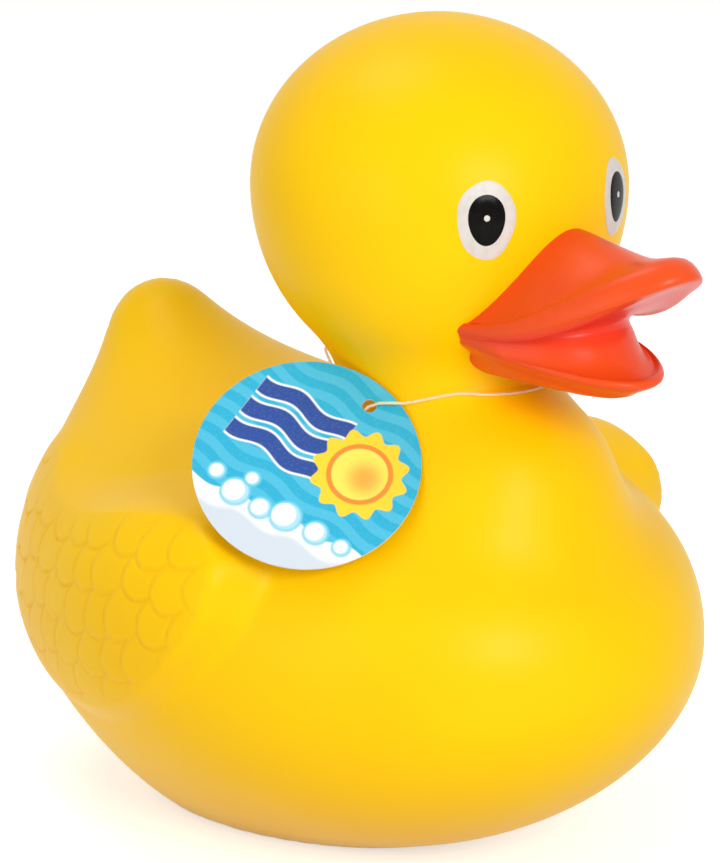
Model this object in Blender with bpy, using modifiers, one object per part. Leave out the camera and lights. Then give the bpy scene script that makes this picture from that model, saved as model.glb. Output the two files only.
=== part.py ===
# Jumbo rubber duck: one hollow vinyl casting with a painted bill and printed eyes, a squeaker pressed
# into the vent of its flat base, and a round card swing tag on an elastic loop round its neck.
# Metres, +Z up, +X towards the bill, +Y to the duck's left, origin on the flat base.

import bpy
import bmesh
import numpy as np
from math import cos, sin, pi, radians
from mathutils import Vector

# The whole bird
HEIGHT = 0.250
WALL = 0.0020
BASE_WALL = 0.0030
GAP = 0.0003                 # clearance between pieces that touch
FILM = 0.0004                # thickness of a paint film
PAINT_EDGE_GAP = 0.0008      # clearance between the bill's paint and the head

# Body: a superellipsoid whose widest level is the waist
BODY_CENTRE_X = -0.003
BODY_FRONT = 0.117
BODY_BACK = 0.119
BODY_HALF_WIDTH = 0.089
WAIST_HEIGHT = 0.065
CROWN_RISE = 0.062
BASE_CUT = 0.005             # how much of the round bottom the flat base takes off
BODY_PLAN_POWER = 2.02
BODY_LOW_POWER = 1.81
BODY_TOP_POWER = 2.27

# Tail: a round cone from inside the rump up to the tip
TAIL_ROOT_X = -0.041
TAIL_ROOT_HEIGHT = 0.026
TAIL_ROOT_RADIUS = 0.015
TAIL_TIP_X = -0.099
TAIL_TIP_HEIGHT = 0.138
TAIL_TIP_RADIUS = 0.0046
TAIL_BLEND = 0.078

# Throat and neck, between the breast and the head
THROAT_X = 0.056
THROAT_HEIGHT = 0.110
THROAT_RADIUS = 0.0375
THROAT_BLEND = 0.013
NECK_X = 0.034
NECK_FOOT_HEIGHT = 0.118
NECK_TOP_DROP = 0.0509       # below the head's widest level
NECK_RADIUS = 0.030
NECK_BLEND = 0.014

# Head: an egg, fuller below its widest level
HEAD_X = 0.0316
HEAD_FRONT = 0.0565
HEAD_BACK = 0.0545
HEAD_HALF_WIDTH = 0.0540
HEAD_RISE = 0.0491
HEAD_DROP = 0.0581
HEAD_BLEND = 0.010

# Wings: a pad raised from each flank; its outline is set in shares of its half length and half height
WING_CENTRE_X = -0.036
WING_CENTRE_HEIGHT = 0.078
WING_HALF_LENGTH = 0.073
WING_HALF_HEIGHT = 0.037
WING_REAR_RELIEF = 0.0012
WING_FRONT_RELIEF = 0.0035   # more than that, low in front
WING_SHOULDER_RELIEF = 0.0090    # and more again, high in front
WING_EDGE = 0.008            # width of the rounded edge
WING_EDGE_OUTSIDE = 0.3      # share of it that lies outside the outline
WING_REAR_GAP = 0.014        # half of the bare strip between the two wings behind
WING_REAR_FADE = 0.026       # the relief grows over this width beside it
CAVITY_EDGE = 0.018          # the hollow follows the wing with a gentler edge
CAVITY_INSET = 0.0015        # that starts inside the outline
WING_OUTLINE = ((1.03, 0.30), (0.94, -0.03), (0.78, -0.36), (0.55, -0.70), (0.22, -0.96), (-0.15, -1.02),
                (-0.50, -0.86), (-0.82, -0.50), (-0.99, 0.00), (-0.97, 0.52), (-0.82, 0.86), (-0.62, 0.93),
                (-0.35, 0.80), (-0.10, 0.78), (0.12, 0.86), (0.42, 1.00), (0.78, 1.06), (1.02, 0.76))

# Bill. Each ring of the loft runs from one mouth corner, on the head, round the front to the other. It is
# set by its reach ahead of the head, its half width at the corners, its height at the front and at the
# corners, both from the head's widest level, and the power of the cosine that leads from one to the other.
BILL_SWEEP = radians(98)     # the rings end inside the cheeks
BILL_SINK = 0.001            # how deep the roots lie in the head
BILL_TOP_ROOT = (0.0250, -0.0045, -0.0312, 2.3)
BILL_UNDER_ROOT = (0.0180, -0.0510, -0.0405, 1.0)
BILL_RINGS = (
    (0.0120, 0.0252, -0.0068, -0.0314, 1.9),   # top, behind
    (0.0270, 0.0259, -0.0086, -0.0316, 1.8),   # top, ahead
    (0.0395, 0.0266, -0.0066, -0.0319, 1.6),   # upper lip, crest
    (0.0455, 0.0270, -0.0108, -0.0332, 1.7),   # upper lip, edge
    (0.0425, 0.0268, -0.0138, -0.0342, 1.8),   # upper lip, underside
    (0.0365, 0.0262, -0.0168, -0.0348, 2.4),   # palate, ahead
    (0.0270, 0.0256, -0.0222, -0.0352, 2.1),   # palate, behind
    (0.0150, 0.0253, -0.0290, -0.0355, 1.3),   # crease of the mouth
    (0.0175, 0.0251, -0.0345, -0.0359, 1.2),   # tongue, behind
    (0.0215, 0.0249, -0.0406, -0.0363, 1.6),   # tongue, ahead
    (0.0264, 0.0248, -0.0434, -0.0367, 1.4),   # groove
    (0.0298, 0.0246, -0.0420, -0.0371, 1.3),   # lower lip, crest
    (0.0314, 0.0242, -0.0443, -0.0380, 1.4),   # lower lip, edge
    (0.0250, 0.0232, -0.0472, -0.0390, 1.6),   # lower lip, underside
    (0.0160, 0.0218, -0.0496, -0.0399, 1.4),   # chin
)
UPPER_LIP_RING = 4           # the mouth lies between these two rings
LOWER_LIP_RING = 11
MOUTH_FADE = 0.5             # cosine of the turn from which the mouth grows shallow towards its corners
BILL_ANCHOR = 0.75           # the loft reaches in behind its roots to this share of their distance
BILL_CORES = ((0.0120, -0.0170, 0.0150, 0.0100, 0.0050),    # hollow of the upper bill: reach, height, radii
              (0.0090, -0.0420, 0.0150, 0.0120, 0.0045))    # hollow of the lower bill

# Eyes, printed on the head: side, angle from the bill's direction, height above the head's widest level
EYE_PLACES = {"left": (1, radians(23), 0.0008),
              "right": (-1, radians(28), 0.0002)}
EYE_HALF_WIDTH = 0.0083
EYE_HALF_HEIGHT = 0.0111
PUPIL_HALF_WIDTH = 0.0053
PUPIL_HALF_HEIGHT = 0.0073
PUPIL_NARROWING = 0.12       # the pupil is an egg with its small end down
GLINT_RADIUS = 0.0009
GLINT_LIFT = 0.0007

# Squeaker in the vent of the base
VENT_X = -0.030
VENT_RADIUS = 0.008
RECESS_RADIUS = 0.0105
RECESS_DEPTH = 0.0014
SQUEAKER_HEIGHT = 0.014
SQUEAKER_WALL = 0.0015
SQUEAKER_BARB = 0.0010
SQUEAKER_TAPER = 0.0005      # how much slimmer its stem is above the barb
BLOW_HOLE_RADIUS = 0.0015
REED_THICKNESS = 0.0008

# Swing tag and its elastic loop
TAG_DIAMETER = 0.065
TAG_THICKNESS = 0.0006
TAG_HOLE_DIAMETER = 0.0042
TAG_HOLE_REACH = 0.0255      # from the tag's centre to its hole
TAG_HOLE_TURN = radians(46)  # direction of the hole on the tag's face
TAG_AZIMUTH = radians(49)    # the face looks ahead and to the right
TAG_TILT = radians(41)       # and up
TAG_SIDEWAYS = -0.0213       # from the loop's middle to the hole, along the face's level direction
TAG_DROP = 0.0232            # and down the face
TAG_SEGMENTS = 72
LOOP_RADIUS = 0.00045
LOOP_REAR_DROP = 0.0494      # below the head's widest level, behind the neck
LOOP_FRONT_DROP = 0.0544     # and before it
LOOP_STEPS = 60
LOOP_STANDOFF = 0.0035       # how far from the tag's middle plane the loop passes in and out of the hole
LOOP_SLANT = 0.004           # and how far to the sides of the hole
LOOP_LEAN = 0.0105           # how far along the tag's face it leaves towards the neck
LOOP_PARTING = (40, 325)     # turns from the hole between which it follows the neck, in degrees
LOOP_PACE = 15               # degrees from one point to the next

# Fineness of the meshes
SKIN_VOXEL = 0.0042
SKIN_KEPT = 0.16             # share of the faces that the outer skin keeps
CAVITY_VOXEL = 0.0115
BILL_COLUMNS = 22
BILL_STEPS = 1               # points of the loft between two rings
STRIDE_BACK = 0.004          # longest steps of a point that is dropped onto the field
STRIDE_AHEAD = 0.02

HEAD_CENTRE = np.array((HEAD_X, 0.0, HEIGHT - HEAD_RISE))
AXES = np.eye(3)


def clear_scene():
    for thing in list(bpy.data.objects):
        bpy.data.objects.remove(thing, do_unlink=True)


def new_collection(name):
    group = bpy.data.collections.new(name)
    bpy.context.scene.collection.children.link(group)
    return group


def principled(name, colour, roughness, metallic=0.0):
    material = bpy.data.materials.new(name)
    material.use_nodes = True
    shader = material.node_tree.nodes["Principled BSDF"]
    shader.inputs["Base Color"].default_value = (*colour, 1.0)
    shader.inputs["Roughness"].default_value = roughness
    shader.inputs["Metallic"].default_value = metallic
    material.diffuse_color = (*colour, 1.0)
    return material


# The field: negative inside the vinyl, positive outside, near to the true distance at the surface

def smooth_min(first, second, blend):
    share = np.clip(0.5 + 0.5 * (second - first) / blend, 0, 1)
    return second + (first - second) * share - blend * share * (1 - share)


def egg(points, centre, back, front, half_width, drop, rise, plan_power=2.0, low_power=2.0, top_power=2.0):
    x, y, z = np.moveaxis(points - np.asarray(centre), -1, 0)
    length = np.where(x > 0, front, back)
    height = np.where(z > 0, rise, drop)
    power = np.where(z > 0, top_power, low_power)
    tiny = 1e-12
    plan = np.abs(x / length) ** plan_power + np.abs(y / half_width) ** plan_power + tiny
    plan = plan ** (1 / plan_power)
    level = (plan ** power + np.abs(z / height) ** power + tiny) ** (1 / power)
    slope = np.sqrt((x / length ** 2) ** 2 + (y / half_width ** 2) ** 2 + (z / height ** 2) ** 2) + 1e-6
    reach = np.sqrt((x / length) ** 2 + (y / half_width) ** 2 + (z / height) ** 2) + 1e-9
    return (level - 1) * reach / slope


def round_cone(points, start, end, start_radius, end_radius):
    axis = np.asarray(end) - np.asarray(start)
    length2 = axis @ axis
    taper = start_radius - end_radius
    flank = length2 - taper * taper
    offset = points - np.asarray(start)
    along = offset @ axis
    beyond = along - length2
    side = offset * length2 - along[..., None] * axis
    side2 = (side * side).sum(-1)
    limit = np.sign(taper) * taper * taper * side2
    at_end = np.sqrt(side2 + beyond ** 2 * length2) / length2 - end_radius
    at_start = np.sqrt(side2 + along ** 2 * length2) / length2 - start_radius
    at_flank = (np.sqrt(side2 * flank / length2) + along * taper) / length2 - start_radius
    past_end = np.sign(beyond) * flank * beyond ** 2 * length2 > limit
    before_start = np.sign(along) * flank * along ** 2 * length2 < limit
    return np.where(past_end, at_end, np.where(before_start, at_start, at_flank))


def head_field(points):
    return egg(points, HEAD_CENTRE, HEAD_BACK, HEAD_FRONT, HEAD_HALF_WIDTH, HEAD_DROP, HEAD_RISE)


def bare_field(points):
    body = egg(points, (BODY_CENTRE_X, 0, WAIST_HEIGHT), BODY_BACK, BODY_FRONT, BODY_HALF_WIDTH,
               WAIST_HEIGHT + BASE_CUT, CROWN_RISE, BODY_PLAN_POWER, BODY_LOW_POWER, BODY_TOP_POWER)
    tail = round_cone(points, (TAIL_ROOT_X, 0, TAIL_ROOT_HEIGHT), (TAIL_TIP_X, 0, TAIL_TIP_HEIGHT),
                      TAIL_ROOT_RADIUS, TAIL_TIP_RADIUS)
    throat = round_cone(points, (THROAT_X, 0, THROAT_HEIGHT), (THROAT_X - 0.001, 0, THROAT_HEIGHT),
                        THROAT_RADIUS, THROAT_RADIUS)
    neck = round_cone(points, (NECK_X, 0, NECK_FOOT_HEIGHT), (NECK_X, 0, HEAD_CENTRE[2] - NECK_TOP_DROP),
                      NECK_RADIUS, NECK_RADIUS)
    whole = smooth_min(body, tail, TAIL_BLEND)
    whole = smooth_min(whole, throat, THROAT_BLEND)
    whole = smooth_min(whole, neck, NECK_BLEND)
    return smooth_min(whole, head_field(points), HEAD_BLEND)


def closed_curve(corners, steps):
    # A smooth closed curve through the corners, with this many points from one to the next
    corners = np.asarray(corners, float)
    share = np.arange(steps)[:, None] / steps
    curve = []
    for i in range(len(corners)):
        before, here, after, beyond = (corners[(i + k) % len(corners)] for k in (-1, 0, 1, 2))
        curve.append(0.5 * (2 * here + (after - before) * share
                            + (2 * before - 5 * here + 4 * after - beyond) * share ** 2
                            + (3 * here - 3 * after + beyond - before) * share ** 3))
    return np.vstack(curve)


def distance_inside(points, outline):
    # Signed distance of flat points to a closed outline, positive inside
    nearest = np.full(len(points), np.inf)
    inside = np.zeros(len(points), bool)
    for start, end in zip(outline, np.roll(outline, -1, axis=0)):
        edge = end - start
        share = np.clip((points - start) @ edge / (edge @ edge), 0, 1)
        nearest = np.minimum(nearest, np.linalg.norm(points - start - share[:, None] * edge, axis=1))
        crosses = (start[1] > points[:, 1]) != (end[1] > points[:, 1])
        rise = edge[1] if edge[1] != 0 else 1.0
        inside ^= crosses & (points[:, 0] < start[0] + (points[:, 1] - start[1]) * edge[0] / rise)
    return np.where(inside, nearest, -nearest)


def ease(share):
    share = np.clip(share, 0, 1)
    return share * share * (3 - 2 * share)


WING_CURVE = closed_curve(WING_OUTLINE, 4) * (WING_HALF_LENGTH, WING_HALF_HEIGHT)
WING_CURVE = WING_CURVE + (WING_CENTRE_X, WING_CENTRE_HEIGHT)


def wing_relief(points, edge, inset):
    flat = points[..., (0, 2)].reshape(-1, 2)
    depth = distance_inside(flat, WING_CURVE).reshape(points.shape[:-1])
    side = ease((np.abs(points[..., 1]) - WING_REAR_GAP) / WING_REAR_FADE)
    along = ease((points[..., 0] - WING_CENTRE_X + WING_HALF_LENGTH) / (2 * WING_HALF_LENGTH))
    upward = ease((points[..., 2] - WING_CENTRE_HEIGHT + WING_HALF_HEIGHT) / (2 * WING_HALF_HEIGHT))
    relief = WING_REAR_RELIEF + (WING_FRONT_RELIEF + WING_SHOULDER_RELIEF * upward) * along
    return relief * ease((depth - inset) / edge) * side


def outer_field(points):
    return bare_field(points) - wing_relief(points, WING_EDGE, -WING_EDGE * WING_EDGE_OUTSIDE)


def hollow_field(points):
    return bare_field(points) - wing_relief(points, CAVITY_EDGE, CAVITY_INSET)


def slope_of(field, points, step=0.0001):
    return np.stack([(field(points + step * axis) - field(points - step * axis)) / (2 * step)
                     for axis in AXES], -1)


def normals_of(field, points):
    slope = slope_of(field, points)
    return slope / (np.linalg.norm(slope, axis=-1, keepdims=True) + 1e-9)


def settle(points, field, level=0.0, rounds=10, stride=STRIDE_BACK):
    # Move points along the slope of the field until they lie at this level of it
    for _ in range(rounds):
        slope = slope_of(field, points)
        steep2 = (slope * slope).sum(-1, keepdims=True) + 1e-6
        step = (field(points) - level)[:, None] * slope / steep2
        size = np.linalg.norm(step, axis=1, keepdims=True) + 1e-12
        points = points - step * np.minimum(1, stride / size)
    return points


def drop_onto(points, direction, field, level=0.0):
    # Move points in a fixed direction until they meet this level of the field
    for _ in range(90):
        step = np.clip((field(points) - level) * 0.7, -STRIDE_BACK, STRIDE_AHEAD)
        points = points + step[:, None] * direction
    return points


# Mesh helpers

def object_from(name, mesh, group, material=None):
    piece = bpy.data.objects.new(name, mesh)
    group.objects.link(piece)
    if material is not None:
        mesh.materials.clear()
        mesh.materials.append(material)
    return piece


def mesh_from(name, points, faces):
    mesh = bpy.data.meshes.new(name)
    mesh.from_pydata([tuple(point) for point in points], [], faces)
    work = bmesh.new()
    work.from_mesh(mesh)
    bmesh.ops.triangulate(work, faces=work.faces)
    bmesh.ops.recalc_face_normals(work, faces=work.faces)
    work.to_mesh(mesh)
    work.free()
    return mesh


def get_points(mesh):
    points = np.empty(len(mesh.vertices) * 3)
    mesh.vertices.foreach_get("co", points)
    return points.reshape(-1, 3)


def set_points(mesh, points):
    mesh.vertices.foreach_set("co", np.ascontiguousarray(points, float).ravel())
    mesh.update()


def bake(piece):
    # Keep the shape that the modifiers give, and drop the modifiers
    bpy.context.view_layer.update()
    graph = bpy.context.evaluated_depsgraph_get()
    mesh = bpy.data.meshes.new_from_object(piece.evaluated_get(graph))
    piece.modifiers.clear()
    piece.data = mesh
    return piece


def cut(piece, tool, operation="DIFFERENCE"):
    boolean = piece.modifiers.new(operation.lower(), "BOOLEAN")
    boolean.operation = operation
    boolean.solver = "EXACT"
    boolean.object = tool
    bake(piece)
    tool.hide_render = True
    tool.display_type = "WIRE"
    return piece


def ellipsoid(name, centre, radii, group, segments=32, rings=16):
    work = bmesh.new()
    bmesh.ops.create_uvsphere(work, u_segments=segments, v_segments=rings, radius=1.0)
    bmesh.ops.scale(work, vec=Vector(radii), verts=work.verts)
    bmesh.ops.translate(work, vec=Vector(centre), verts=work.verts)
    mesh = bpy.data.meshes.new(name)
    work.to_mesh(mesh)
    work.free()
    return object_from(name, mesh, group)


def cylinder(name, centre, radius, depth, group, segments=48):
    work = bmesh.new()
    bmesh.ops.create_cone(work, cap_ends=True, segments=segments, radius1=radius, radius2=radius, depth=depth)
    bmesh.ops.translate(work, vec=Vector(centre), verts=work.verts)
    mesh = bpy.data.meshes.new(name)
    work.to_mesh(mesh)
    work.free()
    return object_from(name, mesh, group)


def block(name, low, high, group):
    work = bmesh.new()
    bmesh.ops.create_cube(work, size=1.0)
    bmesh.ops.scale(work, vec=Vector(high) - Vector(low), verts=work.verts)
    bmesh.ops.translate(work, vec=(Vector(high) + Vector(low)) / 2, verts=work.verts)
    mesh = bpy.data.meshes.new(name)
    work.to_mesh(mesh)
    work.free()
    return object_from(name, mesh, group)


def skin(name, field, level, voxel, group, kept=1.0):
    # A closed skin at one level of the field, grown from rough lobes
    body = ellipsoid(name, (BODY_CENTRE_X, 0, WAIST_HEIGHT),
                     (BODY_FRONT, BODY_HALF_WIDTH, WAIST_HEIGHT + BASE_CUT), group, 48, 24)
    lobes = [ellipsoid("lobe", HEAD_CENTRE, (HEAD_FRONT, HEAD_HALF_WIDTH, HEAD_RISE), group, 48, 24)]
    lobes.append(ellipsoid("lobe", (NECK_X, 0, (HEAD_CENTRE[2] + WAIST_HEIGHT) / 2),
                           (NECK_RADIUS, NECK_RADIUS, (HEAD_CENTRE[2] - WAIST_HEIGHT) / 2), group))
    for share in np.linspace(0, 1, 5):
        # Five lobes of falling size stand for the tail
        x = TAIL_ROOT_X + (TAIL_TIP_X - TAIL_ROOT_X) * share
        z = WAIST_HEIGHT + (TAIL_TIP_HEIGHT - WAIST_HEIGHT) * share
        radius = BODY_HALF_WIDTH / 2 * (1 - share) + TAIL_TIP_RADIUS * 2 * share
        lobes.append(ellipsoid("lobe", (x, 0, z), (radius, radius, radius), group))
    for lobe in lobes:
        cut(body, lobe, "UNION")
        bpy.data.objects.remove(lobe, do_unlink=True)
    remesh = body.modifiers.new("even_faces", "REMESH")
    remesh.mode = "VOXEL"
    remesh.voxel_size = voxel
    bake(body)
    for _ in range(3):
        set_points(body.data, settle(get_points(body.data), field, level))
        work = bmesh.new()
        work.from_mesh(body.data)
        bmesh.ops.smooth_vert(work, verts=work.verts, factor=0.5,
                              use_axis_x=True, use_axis_y=True, use_axis_z=True)
        work.to_mesh(body.data)
        work.free()
    set_points(body.data, settle(get_points(body.data), field, level))
    if kept < 1:
        thin = body.modifiers.new("fewer_faces", "DECIMATE")
        thin.decimate_type = "COLLAPSE"
        thin.ratio = kept
        bake(body)
    split = body.modifiers.new("triangles", "TRIANGULATE")
    split.quad_method = "SHORTEST_DIAGONAL"
    bake(body)
    return body


# The bill

def head_depth(y, height):
    # How far ahead of its centre the head's surface lies there
    return HEAD_FRONT * max(1 - (y / HEAD_HALF_WIDTH) ** 2 - (height / HEAD_DROP) ** 2, 0.0) ** 0.5


def lead(front, corner, power, turn):
    # A height that leads from its value at the front to its value at the mouth corners
    return corner + (front - corner) * max(cos(turn), 0.0) ** power


def root_point(root, turn):
    half_width, front, corner, power = root
    y = half_width * sin(turn)
    height = lead(front, corner, power, turn)
    return np.array((head_depth(y, height) - BILL_SINK, y, height))


def ring_point(ring, turn):
    reach, half_width, front, corner, power = ring
    corner_x = head_depth(half_width, corner)
    x = corner_x + (HEAD_FRONT + reach - corner_x) * cos(turn)
    return np.array((x, half_width * sin(turn), lead(front, corner, power, turn)))


def bill_section(turn):
    top = root_point(BILL_TOP_ROOT, turn)
    under = root_point(BILL_UNDER_ROOT, turn)
    rings = np.array([ring_point(ring, turn) for ring in BILL_RINGS])
    mouth = slice(UPPER_LIP_RING + 1, LOWER_LIP_RING)
    between = LOWER_LIP_RING - UPPER_LIP_RING + 1
    closed = np.linspace(rings[UPPER_LIP_RING], rings[LOWER_LIP_RING], between)[1:-1]
    rings[mouth] = closed + (rings[mouth] - closed) * ease(cos(turn) / MOUTH_FADE)
    inward = np.array((BILL_ANCHOR, BILL_ANCHOR, 1.0))
    section = [top * inward, top, *rings, under, under * inward]
    return HEAD_CENTRE + closed_curve(section, BILL_STEPS)


def bill_loft(name, group, swell=0.0, columns=BILL_COLUMNS):
    turns = np.linspace(-BILL_SWEEP, BILL_SWEEP, columns + 1)
    sections = [bill_section(turn) for turn in turns]
    count = len(sections[0])
    faces = [tuple(range(count)), tuple(range(columns * count, (columns + 1) * count))]
    for i in range(columns):
        for j in range(count):
            k = (j + 1) % count
            faces.append((i * count + j, i * count + k, (i + 1) * count + k, (i + 1) * count + j))
    mesh = mesh_from(name, np.vstack(sections), faces)
    if swell:
        work = bmesh.new()
        work.from_mesh(mesh)
        work.normal_update()
        for vertex in work.verts:
            vertex.co += vertex.normal * swell
        work.to_mesh(mesh)
        work.free()
    return object_from(name, mesh, group)


# The casting

def make_shell(group, tools, bare_skin, vinyl):
    shell = object_from("duck_shell", bare_skin.data.copy(), group)
    cut(shell, bill_loft("bill_form", tools), "UNION")
    below = block("below_base", (-HEIGHT, -HEIGHT, -HEIGHT), (HEIGHT, HEIGHT, 0.0), tools)
    cut(shell, below)
    cavity = skin("cavity_form", hollow_field, -WALL, CAVITY_VOXEL, tools)
    floor = block("below_floor", (-HEIGHT, -HEIGHT, -HEIGHT), (HEIGHT, HEIGHT, BASE_WALL), tools)
    cut(cavity, floor)
    for reach, height, length, width, depth in BILL_CORES:
        centre = HEAD_CENTRE + (HEAD_FRONT + reach - length, 0.0, height)
        core = ellipsoid("bill_core", centre, (length, width, depth), tools, 20, 12)
        cut(cavity, core, "UNION")
    cut(shell, cavity)
    vent = cylinder("vent_form", (VENT_X, 0, BASE_WALL / 2), VENT_RADIUS, BASE_WALL * 3, tools)
    cut(shell, vent)
    recess = cylinder("recess_form", (VENT_X, 0, 0), RECESS_RADIUS, RECESS_DEPTH * 2, tools)
    cut(shell, recess)
    shell.data.materials.clear()
    shell.data.materials.append(vinyl)
    return shell


def make_bill_paint(group, tools, bare_skin, paint):
    film = bill_loft("bill_paint", group, GAP + FILM)
    grown = object_from("grown_skin", bare_skin.data.copy(), tools)
    set_points(grown.data, settle(get_points(grown.data), outer_field, PAINT_EDGE_GAP))
    cut(film, grown)
    for clearance in (GAP, GAP / 4):
        # The second one clears the creases, where the first swells unevenly
        cut(film, bill_loft("bill_under_paint", tools, clearance))
    film.data.materials.clear()
    film.data.materials.append(paint)
    return film


# Eyes

def oval(half_width, half_height, narrowing, count=24):
    turn = np.linspace(0, 2 * pi, count, endpoint=False)
    across = half_width * np.cos(turn) * (1 + narrowing * np.sin(turn))
    return np.stack((across, half_height * np.sin(turn)), -1)


def eye_frame(word):
    side, angle, lift = EYE_PLACES[word]
    outward = np.array((cos(angle), side * sin(angle), 0.0))
    start = HEAD_CENTRE + outward * HEIGHT + (0, 0, lift)
    centre = drop_onto(start[None], -outward, bare_field)[0]
    normal = normals_of(bare_field, centre[None])[0]
    across = np.cross((0, 0, 1), normal)
    across = across / np.linalg.norm(across)
    return centre, normal, across, np.cross(normal, across)


def printed_film(name, word, outline, hole, group, material, rings=3):
    # A thin film that follows the head, between an outline and a hole, or a filled one without a hole
    centre, normal, across, up = eye_frame(word)
    inner = np.zeros_like(outline) if hole is None else hole
    flats = [inner + (outline - inner) * share for share in np.linspace(0, 1, rings + 1)]
    if hole is None:
        flats = flats[1:]
    count = len(outline)
    points = np.vstack([centre + flat[:, :1] * across + flat[:, 1:] * up for flat in flats])
    if hole is None:
        points = np.vstack([points, centre[None]])
    points = drop_onto(points + normal * 0.01, -normal, bare_field)
    normals = normals_of(bare_field, points)
    front = points + normals * (GAP + FILM)
    back = points + normals * GAP
    total = len(points)
    faces = []
    for ring in range(len(flats) - 1):
        for j in range(count):
            k = (j + 1) % count
            quad = (ring * count + j, ring * count + k, (ring + 1) * count + k, (ring + 1) * count + j)
            faces.append(quad)
            faces.append(tuple(total + corner for corner in reversed(quad)))
    rims = [len(flats) - 1]
    if hole is None:
        for j in range(count):
            k = (j + 1) % count
            faces.append((total - 1, k, j))
            faces.append((2 * total - 1, total + j, total + k))
    else:
        rims.append(0)
    for ring in rims:
        for j in range(count):
            k = (j + 1) % count
            here, following = ring * count + j, ring * count + k
            faces.append((here, following, total + following, total + here))
    mesh = mesh_from(name, np.vstack((front, back)), faces)
    return object_from(name, mesh, group, material)


def make_eyes(group, white, black):
    lift = np.array((0.0, GLINT_LIFT))
    glint = oval(GLINT_RADIUS, GLINT_RADIUS, 0.0, 12) + lift
    pupil_hole = oval(GLINT_RADIUS + GAP, GLINT_RADIUS + GAP, 0.0) + lift
    pupil = oval(PUPIL_HALF_WIDTH, PUPIL_HALF_HEIGHT, PUPIL_NARROWING)
    white_hole = oval(PUPIL_HALF_WIDTH + GAP, PUPIL_HALF_HEIGHT + GAP, PUPIL_NARROWING)
    rim = oval(EYE_HALF_WIDTH, EYE_HALF_HEIGHT, 0.0)
    for word in EYE_PLACES:
        printed_film("eye_white_" + word, word, rim, white_hole, group, white, 2)
        printed_film("eye_pupil_" + word, word, pupil, pupil_hole, group, black, 2)
        printed_film("eye_glint_" + word, word, glint, None, group, white, 1)


# Squeaker

def turned(name, profile, group, material, steps=36):
    mesh = bpy.data.meshes.new(name)
    count = len(profile)
    mesh.from_pydata([(radius, 0, height) for radius, height in profile],
                     [(i, (i + 1) % count) for i in range(count)], [])
    piece = object_from(name, mesh, group, material)
    screw = piece.modifiers.new("turn", "SCREW")
    screw.steps = steps
    screw.render_steps = steps
    screw.use_merge_vertices = True
    screw.merge_threshold = 0.00001
    bake(piece)
    work = bmesh.new()
    work.from_mesh(piece.data)
    bmesh.ops.recalc_face_normals(work, faces=work.faces)
    work.to_mesh(piece.data)
    work.free()
    piece.location = (VENT_X, 0, 0)
    return piece


def make_squeaker(group, plastic, film):
    stem = VENT_RADIUS - GAP
    bore = stem - SQUEAKER_WALL
    flange = RECESS_RADIUS - GAP
    plate = RECESS_DEPTH - GAP
    floor = BASE_WALL + GAP
    neck = stem - SQUEAKER_TAPER
    profile = ((neck, SQUEAKER_HEIGHT), (neck, floor + SQUEAKER_BARB * 2),
               (VENT_RADIUS + SQUEAKER_BARB, floor + SQUEAKER_BARB / 2), (VENT_RADIUS + SQUEAKER_BARB, floor),
               (stem, floor), (stem, plate), (flange, plate), (flange, GAP), (BLOW_HOLE_RADIUS, GAP),
               (BLOW_HOLE_RADIUS, GAP + SQUEAKER_WALL), (bore, GAP + SQUEAKER_WALL), (bore, SQUEAKER_HEIGHT))
    turned("squeaker_body", profile, group, plastic)
    seat = GAP + SQUEAKER_WALL + GAP
    ring = ((bore - GAP, seat + REED_THICKNESS), (bore - GAP, seat), (BLOW_HOLE_RADIUS / 2, seat),
            (BLOW_HOLE_RADIUS / 2, seat + REED_THICKNESS))
    turned("squeaker_reed", ring, group, film)


# Swing tag and loop

def tag_axes():
    level = np.array((sin(TAG_AZIMUTH), -cos(TAG_AZIMUTH), 0.0))
    face = level * cos(TAG_TILT) + np.array((0, 0, sin(TAG_TILT)))
    across = np.array((cos(TAG_AZIMUTH), sin(TAG_AZIMUTH), 0.0))
    return face, across, np.cross(face, across)


def tag_place():
    # The tag hangs from the loop at the neck's right side and leans on the breast
    face, across, up = tag_axes()
    hole = (across * cos(TAG_HOLE_TURN) + up * sin(TAG_HOLE_TURN)) * TAG_HOLE_REACH
    loop_middle = np.array((NECK_X, 0.0, HEAD_CENTRE[2] - LOOP_FRONT_DROP))
    rest = loop_middle + across * TAG_SIDEWAYS - up * TAG_DROP - hole
    turn = np.linspace(0, 2 * pi, TAG_SEGMENTS, endpoint=False)
    rim = np.cos(turn)[:, None] * across + np.sin(turn)[:, None] * up
    disc = np.vstack([rim * TAG_DIAMETER / 2 * share for share in (0.4, 0.7, 1.0)])
    low, high = 0.0, HEIGHT
    for _ in range(40):
        middle = (low + high) / 2
        clear = outer_field(rest + disc + face * middle).min() > GAP
        low, high = (low, middle) if clear else (middle, high)
    back = rest + face * high
    return back + face * TAG_THICKNESS / 2, back + hole + face * TAG_THICKNESS / 2


def make_tag(group, tools, card):
    face, across, up = tag_axes()
    centre, hole = tag_place()
    turn = Vector((0, 0, 1)).rotation_difference(Vector(face)).to_matrix().to_4x4()
    tag = cylinder("swing_tag", (0, 0, 0), TAG_DIAMETER / 2, TAG_THICKNESS, group, TAG_SEGMENTS)
    punch = cylinder("tag_hole_form", (0, 0, 0), TAG_HOLE_DIAMETER / 2, TAG_THICKNESS * 4, tools, 24)
    for piece, place in ((tag, centre), (punch, hole)):
        piece.data.transform(turn)
        piece.location = Vector(place)
    cut(tag, punch)
    tag.data.materials.append(card)
    return tag


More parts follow.
